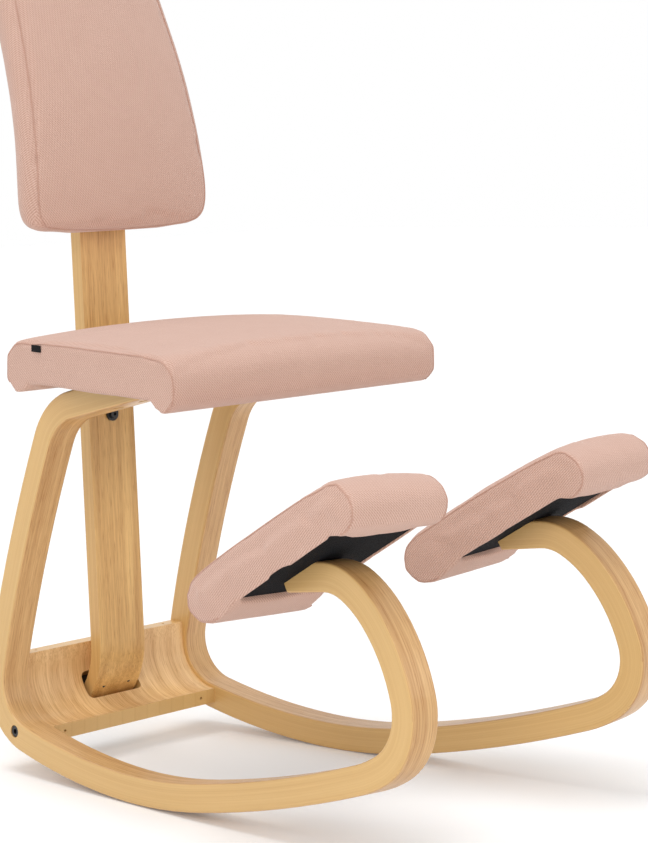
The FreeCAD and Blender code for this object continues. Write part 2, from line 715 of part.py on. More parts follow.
lean = math.tan(rad(POST_LEAN))
bottom_z = STAY_BOLT_Z - D["stayWidth"] / 2
wall_y = stay_front - 0.0
turn_z = 447.0
in0 = (wall_y + (bottom_z - STAY_BOLT_Z) * lean, bottom_z)
in1 = (wall_y + (turn_z + st - STAY_BOLT_Z) * lean, turn_z + st)
p2 = (205.0, turn_z + st)
p3 = seat_under(178.0, SEAT_RECESS)
p4 = seat_under(122.0, SEAT_RECESS)
q4 = seat_under(122.0, SEAT_RECESS - st)
q3 = seat_under(177.0, SEAT_RECESS - st)
q2 = (203.5, turn_z)
q1 = (in1[0] - st, turn_z)
q0 = (in0[0] - st, bottom_z)
outline = add_sketch(body, arcs([in0, in1, p2, p3, p4, q4, q3, q2, q1, q0, in0]))
pad = add_pad(body, outline, alias="stayWidth")
# round lower end
corner = Part.makeBox(60, 60, D["stayWidth"], Vector(-30, stay_front - 30, bottom_z - D["stayWidth"] / 2))
disc = Part.makeCylinder(D["stayWidth"] / 2, 80, Vector(0, stay_front - 40, STAY_BOLT_Z), Vector(0, 1, 0))
tools = [corner.cut(disc), drill(STAY_AT - STAY_DIR * 10, STAY_DIR, 6.0 + 2 * FIT, 20)]
tools += [drill(p - SEAT_UP * 10, SEAT_UP, 4.0 + 2 * FIT, 20) for p in stay_screw_at]
stay = cut_by("seat_stay", body, tools)
stay.Label = "seat_stay"
stay_screw = socket_bolt(8.0, 2.5, 4.0, st + D["coverThick"] + 8.0, 3.0)
stay_heads = [seat_point(0, seat_f(y), SEAT_RECESS - st) for y in STAY_SCREWS_Y]
group("stay_screws", [placed(stay_screw, p, SEAT_UP) for p in stay_heads])
stay_bolt = socket_bolt(11.0, 3.5, 6.0, st + t + 7.0, 4.0)
group("stay_bolt", [placed(stay_bolt, STAY_AT - STAY_DIR * st, STAY_DIR)])
cap = Part.makeCylinder(7.5, 1.5).fuse(hexagon(10.0, 6.5)).removeSplitter()
cap = cap.cut(Part.makeCylinder(3.0 + THREAD, 10))
group("stay_nut", [placed(cap, STAY_AT + STAY_DIR * t, STAY_DIR)])

# The knee pads
kh = D["kneeWidth"] / 2
kb_half = D["kneeBoardWidth"] / 2
KNEE_F0, KNEE_F1 = -57.0, 111.0
knee_bolt_shapes = []
knee_nut_shapes = []
kboard_h = D["coverThick"]
for side, tag in ((-1, "right"), (1, "left")):
    where, outward = runner_frame(side)
    c, s = math.cos(rad(KNEE_PITCH)), math.sin(rad(KNEE_PITCH))
    local = frame_matrix(Vector(KNEE_U, KNEE_V, 0), Vector(c, s, 0), Vector(-s, c, 0), Vector(0, 0, 1))
    frame = where.multiply(local)
    up = frame.Rotation.multVec(Vector(0, 1, 0))
    form = cushion("knee_" + tag, frame, KNEE_OUTLINE, kh,
                   [(-1.0, 0.0), (-0.5, 3.6), (0.0, 4.8), (0.5, 3.6), (1.0, 0.0)])
    room = board_shape(frame, KNEE_F0, KNEE_F1, -30, kboard_h + D["kneeBoardThick"], kb_half, 10.0)
    at = [frame.multVec(Vector(f, 0, 0)) for f in KNEE_BOLT_F]
    flange = [drill(p + up * (kboard_h + D["kneeBoardThick"] - 0.01), up, NUT_FLANGE + 0.4, 4.0) for p in at]
    done = cut_by("knee_cushion_" + tag, form, [room] + flange)
    done.Label = "knee_cushion_" + tag
    body = rounded_board("knee_board_" + tag, frame, KNEE_F0, KNEE_F1, kboard_h, "kneeBoardThick", kb_half, 10.0)
    done = cut_by("knee_board_" + tag, body, [drill(p, up, NUT_BARREL, 30) for p in at])
    done.Label = "knee_board_" + tag
    body = rounded_board("knee_undercover_" + tag, frame, KNEE_F0, KNEE_F1, 0.0, "coverThick", kb_half, 10.0)
    done = cut_by("knee_undercover_" + tag, body, [drill(p - up, up, 6.0 + 2 * FIT, 10) for p in at])
    done.Label = "knee_undercover_" + tag
    grip = 12.0
    nut_top = kboard_h + D["kneeBoardThick"] + 1.5
    bolt = socket_bolt(SEAT_BOLT["head"], SEAT_BOLT["high"], 6.0, grip + kboard_h + D["kneeBoardThick"], 4.0)
    knee_bolt_shapes += [placed(bolt, p - up * grip, up) for p in at]
    knee_nut_shapes += [placed(nut, p + up * (nut_top - NUT_HIGH), up) for p in at]
group("knee_bolts", knee_bolt_shapes)
group("knee_nuts", knee_nut_shapes)

# The back pad: level slices along a line that leans back, lofted upwards
PAD_FOOT = (POST_FRONT_Y + (POST_TURN_Z - POST_BEND_Z) * lean - SOFT_GAP, POST_TURN_Z)
PAD_BELOW = 22.0        # the pad starts this far below the place where the post turns
PAD_RADIUS = POST_TOP_RADIUS + t / 2
PAD_ARC = 17.0          # then it runs straight
# (distance up, half width, depth, how far the slice is moved forward of the rear face, how far its rear
# edge is drawn in)
PAD_SLICES = [(0, 70, 24, 9, 12), (3, 104, 35, 6, 16), (8, 127, 43, 3, 20), (16, 137, 47.5, 1, 24),
              (28, 141.5, 50, 0, 26), (50, 142.5, 51, 0, 26), (105, 138.5, 51.5, 0, 25),
              (190, 131.5, 51, 0, 18), (270, 124, 49.5, 0, 10), (330, 117, 46.5, 0, 10),
              (362, 106, 41, 1.5, 12), (381, 89, 31, 5, 12), (389, 70, 18, 11, 12)]


def pad_line(s):
    """Point of the rear face and its slope from upright, at a distance up the pad."""
    s = s - PAD_BELOW
    base = rad(POST_LEAN)
    if s <= 0:
        return (PAD_FOOT[0] + s * math.sin(base), PAD_FOOT[1] + s * math.cos(base), base)
    arc = rad(PAD_ARC)
    a = min(s / PAD_RADIUS, arc)
    cy = PAD_FOOT[0] + PAD_RADIUS * math.cos(base)
    cz = PAD_FOOT[1] - PAD_RADIUS * math.sin(base)
    y = cy - PAD_RADIUS * math.cos(base + a)
    z = cz + PAD_RADIUS * math.sin(base + a)
    rest = s - PAD_RADIUS * arc
    if rest > 0:
        y += rest * math.sin(base + a)
        z += rest * math.cos(base + a)
    return (y, z, base + a)


def slice_outline(half, deep, lift, tuck):
    """Flat rear, full sides, bowed front; x to the side and y forward."""
    side = half - 13.0
    a = (-half + tuck, lift)
    return arcs([a, (half - tuck, lift), ((half - 0.27 * tuck, lift + 0.2 * deep), (half, lift + 0.55 * deep)),
                 ((half - 3.5, lift + 0.69 * deep), (side, lift + 0.80 * deep)),
                 ((0, lift + deep), (-side, lift + 0.80 * deep)),
                 ((-half + 3.5, lift + 0.69 * deep), (-half, lift + 0.55 * deep)),
                 ((-half + 0.27 * tuck, lift + 0.2 * deep), a)])


sections = []
for k, (s, half, deep, lift, tuck) in enumerate(PAD_SLICES):
    y, z, a = pad_line(s)
    up = Vector(0, math.sin(a), math.cos(a))
    fwd = Vector(0, -math.cos(a), math.sin(a))
    place = frame_matrix(Vector(0, y, z), Vector(1, 0, 0), fwd, Vector(1, 0, 0).cross(fwd))
    sections.append(loft_sketch("back_section%d" % k, slice_outline(half, deep, lift, tuck), place))
form = doc.addObject("Part::Loft", "back_form")
form.Sections = sections
form.Solid = True
form.Ruled = False
doc.recompute()
# board inside, behind the foam
BOARD_UP0, BOARD_UP1 = 42.0, 338.0
BOARD_DEEP = 5.0
bb = D["backBoardThick"]
y0, z0, a0 = pad_line(BOARD_UP0)
run_arc = PAD_RADIUS * rad(PAD_ARC) + PAD_BELOW
y0 -= (BOARD_DEEP + bb / 2) * math.cos(a0)
z0 += (BOARD_DEEP + bb / 2) * math.sin(a0)
board_r = PAD_RADIUS + BOARD_DEEP + bb / 2
turn = math.degrees((run_arc - BOARD_UP0) / PAD_RADIUS)
BOARD = walk(y0, z0, 90 - math.degrees(a0), [(board_r, -turn), (None, BOARD_UP1 - run_arc)])
body = new_body("back_board_body", YZ_SIDE)
outline = add_sketch(body, strip_edges(BOARD, bb))
add_pad(body, outline, alias="backBoardWidth")
board_solid = body.Shape.copy()
tools = [drill(p, d, NUT_BARREL, 60) for p, d in back_bolts]
done = cut_by("back_board", body, tools)
done.Label = "back_board"
nut_low = t / 2 + SOFT_GAP + BOARD_DEEP + bb + 1.5 - NUT_HIGH
rooms = [board_solid]
for p, d in back_bolts:
    rooms.append(drill(p + d * (t / 2 + SOFT_GAP + BOARD_DEEP + bb - 0.5), d, NUT_FLANGE + 0.6, 5.5))
    rooms.append(drill(p, d, 6.0 + 2 * FIT + 2.4, 30))
done = cut_by("back_cushion", form, rooms)
done.Label = "back_cushion"
back_bolt = socket_bolt(11.0, 4.0, 6.0, t + SOFT_GAP + BOARD_DEEP + bb + 1.0, 4.0)
group("back_bolts", [placed(back_bolt, p - d * (t / 2 + HEAD_EASE), d) for p, d in back_bolts])
group("back_nuts", [placed(nut, p + d * nut_low, d) for p, d in back_bolts])

# Checks, then the files
NODES = ["runner_right", "runner_left", "cross_panel", "panel_inserts", "panel_bolts", "back_post",
         "foot_plate", "foot_bolts", "foot_screws", "seat_board", "seat_undercover", "seat_cushion",
         "seat_tab", "seat_nuts", "seat_bolts", "seat_stay", "stay_screws", "stay_bolt", "stay_nut",
         "knee_board_right", "knee_board_left", "knee_undercover_right", "knee_undercover_left",
         "knee_cushion_right", "knee_cushion_left", "knee_bolts", "knee_nuts",
         "back_board", "back_cushion", "back_bolts", "back_nuts"]
doc.recompute()
bad = [o.Name for o in doc.Objects if any(w in ("Invalid", "Error") for w in o.State)]
assert not bad, "objects in error: %s" % bad
os.makedirs("parts", exist_ok=True)
chosen = {}
for name in NODES:
    found = [o for o in doc.Objects if o.Label == name and hasattr(o, "Shape")]
    assert len(found) == 1, "label %s is on %d objects" % (name, len(found))
    shape = found[0].Shape
    assert not shape.isNull() and shape.isValid(), "bad shape " + name
    assert shape.Solids, "no solid in " + name
    chosen[name] = shape
for name, shape in chosen.items():
    solids = shape.Solids
    whole = solids[0] if len(solids) == 1 else Part.makeCompound(solids)
    whole.exportStep("parts/%s.step" % name)
    box = shape.BoundBox
    print("%-24s solids %d  volume %.0f  x %.0f..%.0f y %.0f..%.0f z %.1f..%.1f" % (
        name, len(solids), shape.Volume, box.XMin, box.XMax, box.YMin, box.YMax, box.ZMin, box.ZMax))
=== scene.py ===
# %% [markdown]
# # A rocking kneeling chair, dressed piece by piece
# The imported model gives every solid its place. This script keeps the hard parts, gives the bent wood a
# grain that follows its bends, and swaps the plain cushion solids for stitched, slightly inflated ones.

# %% The frame
import math
import bpy
import bmesh
import numpy as np
from mathutils import Matrix, Vector
from mathutils.bvhtree import BVHTree


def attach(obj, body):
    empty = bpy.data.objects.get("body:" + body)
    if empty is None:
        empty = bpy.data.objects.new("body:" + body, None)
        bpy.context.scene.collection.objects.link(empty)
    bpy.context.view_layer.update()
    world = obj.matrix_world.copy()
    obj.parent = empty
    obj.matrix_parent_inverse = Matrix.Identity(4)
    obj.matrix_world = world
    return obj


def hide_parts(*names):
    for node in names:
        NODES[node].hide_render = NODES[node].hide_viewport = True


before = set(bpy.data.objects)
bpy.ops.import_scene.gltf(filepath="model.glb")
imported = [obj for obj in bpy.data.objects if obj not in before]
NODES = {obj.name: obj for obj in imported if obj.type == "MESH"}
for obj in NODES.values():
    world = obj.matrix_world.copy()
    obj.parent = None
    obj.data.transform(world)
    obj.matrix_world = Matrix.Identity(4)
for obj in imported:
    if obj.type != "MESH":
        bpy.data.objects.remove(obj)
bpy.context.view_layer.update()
print("nodes:", len(NODES))

# %% [markdown]
# ## The camera
# A long lens from the front right, a little above the seat. The picture is upright, 843 high, and the
# lens is given in the same pixels.

# %% The camera
FRAME_H = 843
FOCAL_PX = 2574.4
CAM_AT = Vector((-2.0233, -2.0408, 0.7236))
CAM_AZ, CAM_EL, CAM_ROLL = (math.radians(a) for a in (-45.52, 6.13, -1.87))


def make_camera():
    data = bpy.data.cameras.new("camera")
    data.sensor_width = 36.0
    data.lens = FOCAL_PX / FRAME_H * data.sensor_width
    data.clip_start, data.clip_end = 0.05, 60
    cam = bpy.data.objects.new("camera", data)
    bpy.context.scene.collection.objects.link(cam)
    back = Vector((math.sin(CAM_AZ) * math.cos(CAM_EL), -math.cos(CAM_AZ) * math.cos(CAM_EL),
                   math.sin(CAM_EL)))
    right = (-back).cross(Vector((0, 0, 1))).normalized()
    up = right.cross(-back)
    x = right * math.cos(CAM_ROLL) + up * math.sin(CAM_ROLL)
    y = up * math.cos(CAM_ROLL) - right * math.sin(CAM_ROLL)
    cam.matrix_world = Matrix.Translation(CAM_AT) @ Matrix((x, y, back)).transposed().to_4x4()
    bpy.context.scene.camera = cam
    return cam


camera = make_camera()
print("lens mm:", round(camera.data.lens, 2))

# %% [markdown]
# ## Small helpers for shader nodes
# A shared effect is a node group with named inputs and outputs. It gives colours, values and heights,
# and the material that uses it keeps its own shader.

# %% Node helpers


def srgb(r, g, b):
    """A colour given as it looks on screen, 0 to 255, as the linear one that shaders use."""
    out = []
    for c in (r, g, b):
        c /= 255.0
        out.append(c / 12.92 if c <= 0.04045 else ((c + 0.055) / 1.055) ** 2.4)
    return (*out, 1.0)


def group(name, inputs, outputs):
    """A node group with typed sockets. inputs and outputs are lists of (name, kind, default)."""
    tree = bpy.data.node_groups.new(name, "ShaderNodeTree")
    for label, kind, default in inputs:
        s = tree.interface.new_socket(label, in_out="INPUT", socket_type="NodeSocket" + kind)
        if default is not None:
            s.default_value = default
    for label, kind in outputs:
        tree.interface.new_socket(label, in_out="OUTPUT", socket_type="NodeSocket" + kind)
    return tree, tree.nodes.new("NodeGroupInput"), tree.nodes.new("NodeGroupOutput")


def node(tree, kind, inputs=None, **props):
    """A node with its properties and inputs set. An input is a value or another node's socket."""
    n = tree.nodes.new("ShaderNode" + kind)
    for key, value in props.items():
        setattr(n, key, value)
    for key, value in (inputs or {}).items():
        if isinstance(value, bpy.types.NodeSocket):
            tree.links.new(value, n.inputs[key])
        else:
            n.inputs[key].default_value = value
    return n


def maths(tree, op, a, b=0.0, clamp=False):
    return node(tree, "Math", {0: a, 1: b}, operation=op, use_clamp=clamp).outputs[0]


def mix(tree, factor, a, b):
    """Colour a where factor is 0 and b where it is 1."""
    n = node(tree, "Mix", {0: factor}, data_type="RGBA")
    for key, value in ((6, a), (7, b)):
        if isinstance(value, bpy.types.NodeSocket):
            tree.links.new(value, n.inputs[key])
        else:
            n.inputs[key].default_value = value
    return n.outputs[2]


def remap(tree, value, low, high, to_low=0.0, to_high=1.0):
    return node(tree, "MapRange", {"Value": value, "From Min": low, "From Max": high, "To Min": to_low,
                                   "To Max": to_high}).outputs[0]


def scaled(tree, vector, x, y, z):
    return node(tree, "VectorMath", {0: vector, 1: (x, y, z)}, operation="MULTIPLY").outputs[0]


def material(name):
    m = bpy.data.materials.new(name)
    m.use_nodes = True
    m.node_tree.nodes.clear()
    out = m.node_tree.nodes.new("ShaderNodeOutputMaterial")
    shader = m.node_tree.nodes.new("ShaderNodeBsdfPrincipled")
    m.node_tree.links.new(shader.outputs[0], out.inputs["Surface"])
    return m, m.node_tree, shader


def use_group(tree, source, **values):
    n = tree.nodes.new("ShaderNodeGroup")
    n.node_tree = source
    for key, value in values.items():
        if isinstance(value, bpy.types.NodeSocket):
            tree.links.new(value, n.inputs[key])
        else:
            n.inputs[key].default_value = value
    return n


def bumped(tree, shader, height, distance, strength=1.0):
    b = node(tree, "Bump", {"Height": height, "Distance": distance, "Strength": strength})
    tree.links.new(b.outputs[0], shader.inputs["Normal"])


print("white as a linear colour:", srgb(255, 255, 255))


# %% [markdown]
# ## Wood grain
# Open-pored hardwood shows three scales at once: broad bands of early and late growth, fine streaks
# along the fibre, and short dark pores. All three are noise that is stretched along the grain, so the
# group only needs a coordinate whose X runs along the wood, in metres.

# %% The grain group


def make_grain():
    tree, gin, gout = group(
        "grain",
        [("Vector", "Vector", None), ("Light", "Color", (0.6, 0.4, 0.2, 1)),
         ("Dark", "Color", (0.4, 0.25, 0.1, 1)), ("Pores", "Float", 0.5), ("Bands", "Float", 0.5)],
        [("Color", "Color"), ("Height", "Float"), ("Roughness", "Float")])
    v = gin.outputs["Vector"]
    band = node(tree, "TexNoise", {"Vector": scaled(tree, v, 2.2, 62, 62), "Scale": 1.0, "Detail": 3.0,
                                   "Roughness": 0.55, "Distortion": 0.5}).outputs[0]
    fibre = node(tree, "TexNoise", {"Vector": scaled(tree, v, 9, 620, 620), "Scale": 1.0, "Detail": 3.0,
                                    "Roughness": 0.6}).outputs[0]
    pore = node(tree, "TexNoise", {"Vector": scaled(tree, v, 45, 1250, 1250), "Scale": 1.0,
                                   "Detail": 1.5}).outputs[0]
    pore = remap(tree, pore, 0.56, 0.70)
    broad = maths(tree, "MULTIPLY", remap(tree, band, 0.36, 0.66), gin.outputs["Bands"])
    fine = maths(tree, "MULTIPLY", remap(tree, fibre, 0.35, 0.7), 0.42)
    darker = maths(tree, "MULTIPLY", pore, gin.outputs["Pores"])
    total = maths(tree, "ADD", maths(tree, "ADD", broad, fine), darker, clamp=True)
    tree.links.new(mix(tree, total, gin.outputs["Light"], gin.outputs["Dark"]), gout.inputs["Color"])
    low = maths(tree, "MULTIPLY", darker, -0.7)
    tree.links.new(maths(tree, "ADD", low, maths(tree, "MULTIPLY", fibre, 0.25)), gout.inputs["Height"])
    tree.links.new(maths(tree, "ADD", maths(tree, "MULTIPLY", fine, 0.25), 0.34), gout.inputs["Roughness"])
    return tree


GRAIN = make_grain()
print("group:", GRAIN.name)

# %% [markdown]
# ## Ply lines
# The cut side of a laminate shows its thin veneers edge on, each a slightly different tone, with a dark
# glue line between them. The Y of the vector runs through the veneers.

# %% The ply group


def make_plies():
    """Glue lines between thin veneers, seen on the cut side of a laminate."""
    tree, gin, gout = group(
        "plies",
        [("Vector", "Vector", None), ("Pitch", "Float", 0.0026), ("Light", "Color", (0.6, 0.4, 0.2, 1)),
         ("Dark", "Color", (0.4, 0.25, 0.1, 1)), ("Amount", "Float", 0.4)],
        [("Color", "Color"), ("Height", "Float"), ("Roughness", "Float")])
    parts = node(tree, "SeparateXYZ", {0: gin.outputs["Vector"]})
    count = maths(tree, "DIVIDE", parts.outputs["Y"], gin.outputs["Pitch"])
    inside = maths(tree, "FRACT", count)
    line = remap(tree, maths(tree, "ABSOLUTE", maths(tree, "SUBTRACT", inside, 0.5)), 0.40, 0.5)
    which = node(tree, "TexWhiteNoise", {"W": maths(tree, "FLOOR", count)}, noise_dimensions="1D").outputs[0]
    fibre = node(tree, "TexNoise", {"Vector": scaled(tree, gin.outputs["Vector"], 6, 900, 900), "Scale": 1.0,
                                    "Detail": 3.0}).outputs[0]
    total = maths(tree, "ADD", maths(tree, "MULTIPLY", line, 0.55), maths(tree, "MULTIPLY", which, 0.45))
    total = maths(tree, "ADD", total, remap(tree, fibre, 0.4, 0.7, 0.0, 0.5))
    total = maths(tree, "MULTIPLY", total, gin.outputs["Amount"], clamp=True)
    tree.links.new(mix(tree, total, gin.outputs["Light"], gin.outputs["Dark"]), gout.inputs["Color"])
    tree.links.new(maths(tree, "MULTIPLY", line, -0.5), gout.inputs["Height"])
    tree.links.new(maths(tree, "ADD", maths(tree, "MULTIPLY", fibre, 0.18), 0.30), gout.inputs["Roughness"])
    return tree


PLIES = make_plies()
print("group:", PLIES.name)

# %% [markdown]
# ## Woven cover
# The upholstery is a fine twill: diagonal ribs a little over a millimetre apart, in two close tones of
# dusty pink. The ribs are drawn on three planes and chosen by the way the surface faces, so the weave
# needs no unwrap and keeps its size over the whole cushion.

# %% The weave group
RIB = 0.0031
MOSTLY = 0.62       # a face counts as side or flat above this share of its normal


def make_weave():
    tree, gin, gout = group(
        "weave",
        [("Vector", "Vector", None), ("Normal", "Vector", None), ("Pitch", "Float", RIB)],
        [("Rib", "Float"), ("Height", "Float"), ("Mottle", "Float")])
    p = node(tree, "SeparateXYZ", {0: gin.outputs["Vector"]})
    n = node(tree, "SeparateXYZ", {0: gin.outputs["Normal"]})
    pitch = gin.outputs["Pitch"]
    turns = 2 * math.pi

    def twill(a, b):
        diagonal = maths(tree, "DIVIDE", maths(tree, "ADD", a, b), pitch)
        across = maths(tree, "DIVIDE", maths(tree, "SUBTRACT", a, b), pitch)
        rib = maths(tree, "SINE", maths(tree, "MULTIPLY", diagonal, turns))
        stitch = maths(tree, "SINE", maths(tree, "ADD", maths(tree, "MULTIPLY", across, turns * 0.5),
                                           maths(tree, "MULTIPLY", maths(tree, "FLOOR", diagonal), 2.1)))
        return maths(tree, "ADD", maths(tree, "MULTIPLY", rib, 0.38), maths(tree, "MULTIPLY", stitch, 0.12))

    x, y, z = p.outputs["X"], p.outputs["Y"], p.outputs["Z"]
    side, flat = (maths(tree, "GREATER_THAN", maths(tree, "ABSOLUTE", n.outputs[k]), MOSTLY) for k in "XZ")
    front = twill(x, z)
    level = twill(x, y)
    flank = twill(y, z)
    pick = node(tree, "Mix", {0: flat, 2: front, 3: level}).outputs[0]
    rib = node(tree, "Mix", {0: side, 2: pick, 3: flank}).outputs[0]
    rib = maths(tree, "ADD", rib, 0.5)
    v = gin.outputs["Vector"]
    mottle = node(tree, "TexNoise", {"Vector": v, "Scale": 38.0, "Detail": 3.0}).outputs[0]
    yarn = node(tree, "TexNoise", {"Vector": v, "Scale": 1500.0, "Detail": 2.0}).outputs[0]
    tree.links.new(rib, gout.inputs["Rib"])
    tree.links.new(maths(tree, "ADD", rib, maths(tree, "MULTIPLY", yarn, 0.35)), gout.inputs["Height"])
    uneven = maths(tree, "ADD", maths(tree, "MULTIPLY", mottle, 0.3), maths(tree, "MULTIPLY", yarn, 0.7))
    tree.links.new(uneven, gout.inputs["Mottle"])
    return tree


WEAVE = make_weave()
print("group:", WEAVE.name)

# %% [markdown]
# ## The materials
# Wood has a clear satin coat. Where a strip shows its cut side the plies show, and where it shows its
# face the grain does; a per-face value on the piece says which is which. Cloth has a soft sheen. Steel
# is powder coated.

# %% Wood materials
OAK_LIGHT, OAK_DARK = srgb(226, 184, 126), srgb(176, 122, 64)
PLY_LIGHT, PLY_DARK = srgb(222, 182, 118), srgb(196, 146, 80)


def strip_wood():
    """Bent laminate: reads the along, through and across distances that the piece carries."""
    m, tree, shader = material("runner_wood")
    at = node(tree, "Attribute", attribute_name="strip").outputs["Vector"]
    cut_side = node(tree, "Attribute", attribute_name="cut_side").outputs["Fac"]
    face = use_group(tree, GRAIN, Vector=at, Light=OAK_LIGHT, Dark=OAK_DARK, Pores=0.42, Bands=0.42)
    side = use_group(tree, PLIES, Vector=at, Light=PLY_LIGHT, Dark=PLY_DARK, Amount=0.4)
    tree.links.new(mix(tree, cut_side, face.outputs["Color"], side.outputs["Color"]),
                   shader.inputs["Base Color"])
    rough = node(tree, "Mix", {0: cut_side, 2: face.outputs["Roughness"], 3: side.outputs["Roughness"]})
    tree.links.new(rough.outputs[0], shader.inputs["Roughness"])
    height = node(tree, "Mix", {0: cut_side, 2: face.outputs["Height"], 3: side.outputs["Height"]}).outputs[0]
    bumped(tree, shader, height, 0.00025, 0.6)
    shader.inputs["Coat Weight"].default_value = 0.22
    shader.inputs["Coat Roughness"].default_value = 0.25
    return m


def sheet_wood(name, along, light, dark, through, pitch=0.0016):
    """Plywood. along is the axis of the grain, and edges are the faces square to the through axis."""
    m, tree, shader = material(name)
    p = node(tree, "SeparateXYZ", {0: node(tree, "TexCoord").outputs["Object"]})
    order = {"X": "XYZ", "Y": "YXZ", "Z": "ZXY"}[along]
    v = node(tree, "CombineXYZ", {k: p.outputs[order[k]] for k in range(3)}).outputs[0]
    face = use_group(tree, GRAIN, Vector=v, Light=light, Dark=dark, Pores=0.5, Bands=0.5)
    n = node(tree, "SeparateXYZ", {0: node(tree, "NewGeometry").outputs["True Normal"]})
    edge = maths(tree, "GREATER_THAN", maths(tree, "ABSOLUTE", n.outputs[through]), 0.9)
    w = node(tree, "CombineXYZ", {"X": p.outputs["Z"], "Y": p.outputs["Y"], "Z": p.outputs["X"]}).outputs[0]
    ply = use_group(tree, PLIES, Vector=w, Pitch=pitch, Light=PLY_LIGHT, Dark=PLY_DARK, Amount=0.6)
    tree.links.new(mix(tree, edge, face.outputs["Color"], ply.outputs["Color"]), shader.inputs["Base Color"])
    tree.links.new(face.outputs["Roughness"], shader.inputs["Roughness"])
    bumped(tree, shader, face.outputs["Height"], 0.00025, 0.6)
    shader.inputs["Coat Weight"].default_value = 0.2
    shader.inputs["Coat Roughness"].default_value = 0.28
    return m


PANEL_AXIS_Y, PANEL_AXIS_Z, PANEL_RADIUS = 0.2795, 0.1066, 0.063


def bent_panel_wood():
    """The grain goes round the bend, so the distance along it is an angle about the bend's axis."""
    m, tree, shader = material("panel_wood")
    p = node(tree, "SeparateXYZ", {0: node(tree, "TexCoord").outputs["Object"]})
    n = node(tree, "SeparateXYZ", {0: node(tree, "NewGeometry").outputs["True Normal"]})
    dy = maths(tree, "SUBTRACT", p.outputs["Y"], PANEL_AXIS_Y)
    dz = maths(tree, "SUBTRACT", p.outputs["Z"], PANEL_AXIS_Z)
    angle = maths(tree, "ARCTAN2", dy, maths(tree, "MULTIPLY", dz, -1.0))
    squares = maths(tree, "ADD", maths(tree, "MULTIPLY", dy, dy), maths(tree, "MULTIPLY", dz, dz))
    far = maths(tree, "SQRT", squares)
    along = maths(tree, "MULTIPLY", angle, PANEL_RADIUS)
    v = node(tree, "CombineXYZ", {0: along, 1: p.outputs["X"], 2: far}).outputs[0]
    face = use_group(tree, GRAIN, Vector=v, Light=srgb(250, 212, 154), Dark=srgb(200, 148, 88), Pores=0.5,
                     Bands=0.45)
    facing = maths(tree, "ADD", maths(tree, "MULTIPLY", n.outputs["Y"], dy),
                   maths(tree, "MULTIPLY", n.outputs["Z"], dz))
    facing = maths(tree, "ABSOLUTE", maths(tree, "DIVIDE", facing, far))
    edge = maths(tree, "LESS_THAN", facing, 0.6)
    plain_edge = use_group(tree, PLIES, Vector=v, Pitch=0.02, Light=PLY_LIGHT, Dark=PLY_DARK, Amount=0.35)
    tree.links.new(mix(tree, edge, face.outputs["Color"], plain_edge.outputs["Color"]),
                   shader.inputs["Base Color"])
    tree.links.new(face.outputs["Roughness"], shader.inputs["Roughness"])
    bumped(tree, shader, face.outputs["Height"], 0.00025, 0.6)
    shader.inputs["Coat Weight"].default_value = 0.3
    shader.inputs["Coat Roughness"].default_value = 0.25
    return m


RUNNER_WOOD = strip_wood()
POST_WOOD = sheet_wood("post_wood", "Z", srgb(240, 196, 124), srgb(188, 134, 68), "X")
PANEL_WOOD = bent_panel_wood()
BOARD_WOOD = sheet_wood("board_wood", "X", srgb(214, 180, 132), srgb(170, 128, 84), "X")

# %% [markdown]
# ## Cloth and steel
# The twill mixes two tones by its ribs and raises them a little. Coated and plated steel are even, with
# a fine orange peel and some change in gloss.

# %% Cloth and metal materials


def cloth(name, light, dark, pitch=RIB, bump=0.0005, sheen=0.25):
    m, tree, shader = material(name)
    at = node(tree, "TexCoord").outputs["Object"]
    facing = node(tree, "NewGeometry").outputs["Normal"]
    w = use_group(tree, WEAVE, Vector=at, Normal=facing, Pitch=pitch)
    shade = maths(tree, "ADD", maths(tree, "MULTIPLY", w.outputs["Rib"], 0.9),
                  remap(tree, w.outputs["Mottle"], 0.35, 0.65, -0.03, 0.13), clamp=True)
    tree.links.new(mix(tree, shade, dark, light), shader.inputs["Base Color"])
    tree.links.new(remap(tree, w.outputs["Rib"], 0.0, 1.0, 0.95, 0.8), shader.inputs["Roughness"])
    bumped(tree, shader, w.outputs["Height"], bump, 0.8)
    shader.inputs["Sheen Weight"].default_value = sheen
    shader.inputs["Sheen Roughness"].default_value = 0.5
    shader.inputs["Specular IOR Level"].default_value = 0.12
    return m


def plain(name, colour, metal, rough, speckle=900.0, bump=0.00012):
    """Coated or plated metal: even colour, with a fine orange peel and a little wear in the gloss."""
    m, tree, shader = material(name)
    at = node(tree, "TexCoord").outputs["Object"]
    fine = node(tree, "TexNoise", {"Vector": at, "Scale": speckle, "Detail": 2.0}).outputs[0]
    broad = node(tree, "TexNoise", {"Vector": at, "Scale": 45.0, "Detail": 3.0}).outputs[0]
    light = tuple(min(1.0, c * 1.5 + 0.004) for c in colour[:3]) + (1.0,)
    tree.links.new(mix(tree, remap(tree, broad, 0.4, 0.75), colour, light), shader.inputs["Base Color"])
    tree.links.new(remap(tree, broad, 0.3, 0.7, rough - 0.07, rough + 0.1), shader.inputs["Roughness"])
    bumped(tree, shader, fine, bump, 0.5)
    shader.inputs["Metallic"].default_value = metal
    return m


